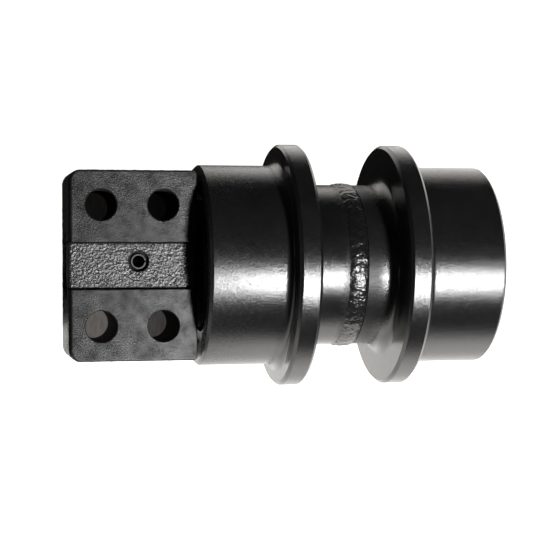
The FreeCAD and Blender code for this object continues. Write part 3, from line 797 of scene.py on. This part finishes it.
CHANNEL_DEPTH = 4.5
CHANNEL_FOOT = 21.6
CHANNEL_LIP = 23.1
CAST_EDGE = 3.5
PAD_EDGE = 1.8
PAD_INSET = 0.8
PAD_INSET_LEFT = 2.2
CORNER_LEFT = 12.0
CORNER_RIGHT = 5.0
CAST_RELIEF = 0.9
PAD_RELIEF = 0.04
CAST_STEP = 1.15
PIN_HOLE_RADIUS = 8.05
PIN_RECESS_RADIUS = 10.0
BOLT_HOLE_CHAMFER = 0.8
EDGE_ROWS = (0.0, 0.35, 0.7, 1.0, 1.6, 2.5, 3.5, 4.7, 6.2, 8.0)


def ease(value):
    """Smooth step from 0 to 1."""
    value = min(1.0, max(0.0, value))
    return value * value * (3 - 2 * value)


def rows(length, step, extra=()):
    """Places from 0 to length: fine at both ends, even between, plus extra ones."""
    inner = length - 2 * EDGE_ROWS[-1]
    count = max(1, round(inner / step))
    middle_rows = [EDGE_ROWS[-1] + inner * k / count for k in range(1, count)]
    near = [row for row in middle_rows if all(abs(row - e) > 0.3 for e in extra)]
    return sorted(set(list(EDGE_ROWS) + [length - row for row in EDGE_ROWS] + near + list(extra)))


def outline_place(x, y):
    """Nearest point of the block's rounded outline, the outward direction, and the depth inside."""
    from_left, from_right = x - BLOCK_LEFT, BLOCK_RIGHT - x
    from_side = BLOCK_SIDE - abs(y)
    near_left = from_left < from_right
    depth = min(from_left, from_right, from_side)
    corner = CORNER_LEFT if near_left else CORNER_RIGHT
    side = math.copysign(1, y)
    if min(from_left, from_right) < corner and from_side < corner:
        centre_x = BLOCK_LEFT + corner if near_left else BLOCK_RIGHT - corner
        centre = Vector((centre_x, side * (BLOCK_SIDE - corner)))
        out = (Vector((x, y)) - centre).normalized()
        return centre + out * corner, out, depth
    if depth == from_side:
        return Vector((x, side * BLOCK_SIDE)), Vector((0, side)), depth
    if near_left:
        return Vector((BLOCK_LEFT, y)), Vector((-1, 0)), depth
    return Vector((BLOCK_RIGHT, y)), Vector((1, 0)), depth


def cast_place(x, y, drop):
    """Where a point of the block's surface lies: drop is its depth below the top face's edge."""
    base, out, depth = outline_place(x, y)
    pad = ease((abs(y) - CHANNEL_FOOT) / (CHANNEL_LIP - CHANNEL_FOOT))
    edge = CAST_EDGE + (PAD_EDGE - CAST_EDGE) * pad
    inset = pad * (PAD_INSET + (PAD_INSET_LEFT - PAD_INSET) * max(0.0, -out.x) ** 2)
    top = -CHANNEL_DEPTH * (1 - pad)
    if drop == 0 and depth >= edge:
        inward = depth + inset * max(0.0, 1 - (depth - edge) / 6)
        tilt, level = 0.0, top
    elif drop < edge:
        tilt = math.pi / 4 * (1 + (drop - (depth if drop == 0 else 0)) / edge)
        inward = inset + edge * (1 - math.sin(tilt))
        level = top - edge * (1 - math.cos(tilt))
    else:
        tilt = math.pi / 2
        inward = inset * (1 - ease((drop - 2.0) / 5))
        level = top * (1 - ease(drop / 20)) - drop
    cast = 1 - pad * (1 - ease((drop - 1.0) / 5))
    plan = base - out * inward
    normal = Vector((out.x * math.sin(tilt), out.y * math.sin(tilt), math.cos(tilt)))
    place = Vector((plan.x, plan.y, PAD_PLANE + level))
    return place, normal, cast


def cast_relief(place):
    """Grain of the sand mould, from -1 to 0."""
    coarse = noise.noise(place * 0.22) * 0.5
    fine = noise.noise(place * 0.42 + Vector((7, 3, 5))) * 0.5
    return (coarse + fine - 1) / 2


def block():
    """Closed mesh of the bracket's block: pads, channels and rough cast sides."""
    length, width = BLOCK_RIGHT - BLOCK_LEFT, 2 * BLOCK_SIDE
    wall = [CHANNEL_FOOT - 0.6 + 0.4 * k for k in range(9)]
    xs = [BLOCK_LEFT + row for row in rows(length, CAST_STEP)]
    across = [BLOCK_SIDE + side * row for row in wall for side in (-1, 1)]
    ys = [row - BLOCK_SIDE for row in rows(width, 1.25, across)]
    height = PAD_PLANE - BLOCK_BOTTOM
    drops = rows(height, 2.0)
    ids, verts, faces = {}, [], []

    def vertex(i, j, k):
        key = (i, j, k)
        if key not in ids:
            drop = drops[k]
            upper = drop <= height / 2
            on_face = k in (0, len(drops) - 1)
            place, normal, cast = cast_place(xs[i], ys[j], 0 if on_face else min(drop, height - drop))
            if not upper:
                place.z = PAD_PLANE + BLOCK_BOTTOM - place.z
                normal.z = -normal.z
            relief = PAD_RELIEF + (CAST_RELIEF - PAD_RELIEF) * cast
            place += normal * cast_relief(place) * relief
            ids[key] = len(verts)
            verts.append(tuple(place))
        return ids[key]

    last_i, last_j, last_k = len(xs) - 1, len(ys) - 1, len(drops) - 1
    for i in range(last_i):
        for j in range(last_j):
            for k in (0, last_k):
                faces.append([vertex(a, b, k) for a, b in ((i, j), (i + 1, j), (i + 1, j + 1), (i, j + 1))])
        for k in range(last_k):
            for j in (0, last_j):
                faces.append([vertex(a, j, c) for a, c in ((i, k), (i + 1, k), (i + 1, k + 1), (i, k + 1))])
    for j in range(last_j):
        for k in range(last_k):
            for i in (0, last_i):
                faces.append([vertex(i, b, c) for b, c in ((j, k), (j + 1, k), (j + 1, k + 1), (j, k + 1))])
    return new_object("bracket_casting", verts, faces)


def through_hole(x, y, radius, mouth_radius, mouth_depth, chamfer):
    """Upright cutter for a hole with the same mouth at both faces of the block."""
    above, below = PAD_PLANE + 5, BLOCK_BOTTOM - 5
    upper, lower = PAD_PLANE - mouth_depth, BLOCK_BOTTOM + mouth_depth
    profile = [
        (above, 0), (above, mouth_radius), (upper, mouth_radius), (upper - chamfer, radius),
        (lower + chamfer, radius), (lower, mouth_radius), (below, mouth_radius), (below, 0),
    ]
    return lathe("cutter", profile, 96, (x, y, 0), axis=2)


def shaft_bore():
    """Cutter along the axle for the shaft's bore and the seal collar's spigot."""
    seal = extent("shaft_o_ring", 0)
    profile = [
        (BLOCK_LEFT - 5, 0), (BLOCK_LEFT - 5, 35.0), (BLOCK_LEFT, 35.0), (BLOCK_LEFT + 2.5, 32.5),
        (seal[0], 32.5), (seal[0], 36.5), (seal[1], 36.5), (seal[1], 32.5),
        (COLLAR_LEFT, 32.5), (COLLAR_LEFT, 38.55), (BLOCK_RIGHT + 5, 38.55), (BLOCK_RIGHT + 5, 0),
    ]
    return lathe("cutter", profile, 160)


def bracket():
    piece = block()
    combine(piece, shaft_bore(), "DIFFERENCE")
    pin_mouth = CHANNEL_DEPTH + 5.0
    cutters = [through_hole(PIN_X, PIN_Y, PIN_HOLE_RADIUS, PIN_RECESS_RADIUS, pin_mouth, 0.4)]
    bolt_mouth = BOLT_HOLE_RADIUS + BOLT_HOLE_CHAMFER
    for x in (-BOLT_SPACING_X / 2, BOLT_SPACING_X / 2):
        for y in (-BOLT_SPACING_Y / 2, BOLT_SPACING_Y / 2):
            cutters.append(through_hole(x, y, BOLT_HOLE_RADIUS, bolt_mouth, 0.1, BOLT_HOLE_CHAMFER))
    combine(piece, joined(cutters), "DIFFERENCE")
    mark_cast(piece)
    dress(piece, "bracket_paint", "end_bracket", "bracket")


def mark_cast(piece):
    """Stores where the surface is as cast, 1, and where it is machined, 0."""
    mask = piece.data.attributes.new("cast", "FLOAT", "POINT")
    middle_z = (PAD_PLANE + BLOCK_BOTTOM) / 2
    for index, vertex in enumerate(piece.data.vertices):
        _, y, z = vertex.co / MM
        drop = PAD_PLANE - middle_z - abs(z - middle_z)
        on_pad = ease((abs(y) - CHANNEL_FOOT) / (CHANNEL_LIP - CHANNEL_FOOT))
        mask.data[index].value = 1 - on_pad * (1 - ease((drop - 1.0) / 5))


bracket()


def seal_collar():
    profile = rounded([
        (COLLAR_LEFT, 32.5), (COLLAR_LEFT, 38.5), (BLOCK_RIGHT + 4.5, 38.5, 0.3),
        (BLOCK_RIGHT + 4.5, 60.5), (BLOCK_RIGHT + 6, 62.0), (HUB_FACE - 1.5, 62.0),
        (HUB_FACE, 60.5), (HUB_FACE, 54.0), (HUB_FACE - 12, 54.0), (HUB_FACE - 12, 32.5),
    ], 0.4)
    collar = lathe("seal_collar_turned", profile)
    dress(collar, "cover_paint", "seal_collar", "bracket", look="dull_black")


seal_collar()


def lock_pin():
    """Rolled spring pin: a slotted tube with rounded ends."""
    bottom, top = extent("shaft_lock_pin", 2)
    outer = (PIN_BACK - PIN_FRONT) / 2
    bore = outer - 2.2
    centre = (PIN_LEFT + outer, PIN_Y)
    section = rounded([
        (bottom, bore), (bottom, outer - 0.8), (bottom + 1.2, outer), (top - 1.2, outer),
        (top, outer - 0.8), (top, bore),
    ], 0.25)
    half_slot = 1.0 / outer
    turns = 72
    verts, faces = [], []
    for index in range(turns + 1):
        angle = half_slot + (2 * math.pi - 2 * half_slot) * index / turns
        for z, radius in section:
            verts.append((
                centre[0] + radius * math.cos(angle), centre[1] + radius * math.sin(angle), z
            ))
    count = len(section)
    for index in range(turns):
        for k in range(count):
            after = (k + 1) % count
            here, there = index * count, (index + 1) * count
            faces.append((here + k, here + after, there + after, there + k))
    faces.append(tuple(range(count)))
    faces.append(tuple(range(turns * count, (turns + 1) * count)))
    dress(new_object("lock_pin_rolled", verts, faces), "spring_steel", "shaft_lock_pin", "bracket")


lock_pin()

# ---------------------------------------------------------------------------
# Outer end


def cover():
    """Bolted end cover with a crowned middle and a sunk seat for the plug."""
    crown = COVER_RIGHT
    rim = crown - 2.0
    profile = rounded([
        (crown - 3.5, 8.0), (crown - 3.5, 13.5), (crown, 14.0), (crown, 51.0, 2.0), (rim, 54.0, 1.5),
        (rim, 75.0), (rim - 0.7, 75.7), (COVER_SEAT, 75.7), (COVER_SEAT, 55.9),
        (COVER_SEAT - 1.6, 55.9, 0.2), (COVER_SEAT - 1.6, 52.2, 0.2), (COVER_SEAT - 6.2, 52.2, 0.2),
        (COVER_SEAT - 6.2, 55.9, 0.2), (COVER_LEFT, 55.9), (COVER_LEFT, 50.0),
        (crown - 5, 50.0, 3.0), (crown - 5, 12.0, 1.0), (crown - 10, 12.0), (crown - 10, 8.0),
    ], 0.5)
    piece = lathe("end_cover_turned", profile)
    holes = []
    for y, z in around_axle(BOLTS, BOLT_CIRCLE):
        outline = [(COVER_SEAT - 5, 0), (COVER_SEAT - 5, 5.3), (crown + 5, 5.3), (crown + 5, 0)]
        holes.append(lathe("cutter", outline, 48, (0, y, AXIS_Z + z)))
    combine(piece, joined(holes), "DIFFERENCE")
    dress(piece, "cover_paint", "end_cover", "roller")


cover()


def hexagon(flats):
    radius = flats / math.sqrt(3)
    return [(radius * math.cos(math.pi / 3 * k), radius * math.sin(math.pi / 3 * k)) for k in range(6)]


def cover_bolts():
    """Six hexagon screws with chamfered heads and a washer face."""
    tip, top = extent("cover_bolts", 0)
    under = top - 6.4
    bolts = []
    for y, z in around_axle(BOLTS, BOLT_CIRCLE):
        place = (0, y, AXIS_Z + z)
        head = prism("head", hexagon(17.0), under + 0.4, top, (y, AXIS_Z + z))
        dome = rounded([(under, 0), (under, 12.0), (top - 2.2, 12.0, 0), (top, 8.0, 0.4), (top, 0)], 0)
        combine(head, lathe("dome", dome, 96, place), "INTERSECT")
        stem = rounded([
            (tip, 0), (tip, 4.0, 0), (tip + 1, 4.95, 0), (under, 4.95, 0), (under, 8.1, 0.1),
            (under + 0.6, 8.1, 0.1), (under + 0.6, 0),
        ], 0)
        combine(head, lathe("stem", stem, 64, place), "UNION")
        bolts.append(head)
    piece = joined(bolts)
    piece.name = "cover_bolts_hex"
    dress(piece, "bolt_steel", "cover_bolts", "roller")


cover_bolts()


def fill_plug():
    """Oil plug with a hexagon socket."""
    start, top = extent("fill_plug", 0)
    seat = top - 6.5
    profile = rounded([
        (start, 0, 0), (start, 7.0), (start + 1, 7.95, 0.3), (seat, 7.95, 0.2), (seat, 12.0, 0.4),
        (top - 0.6, 12.0), (top, 11.4), (top, 0, 0),
    ], 0.4)
    piece = lathe("fill_plug_socket", profile, 128)
    combine(piece, prism("cutter", hexagon(10.0), top - 5, top + 2, (0, AXIS_Z)), "DIFFERENCE")
    dress(piece, "bolt_steel", "fill_plug", "roller")


fill_plug()
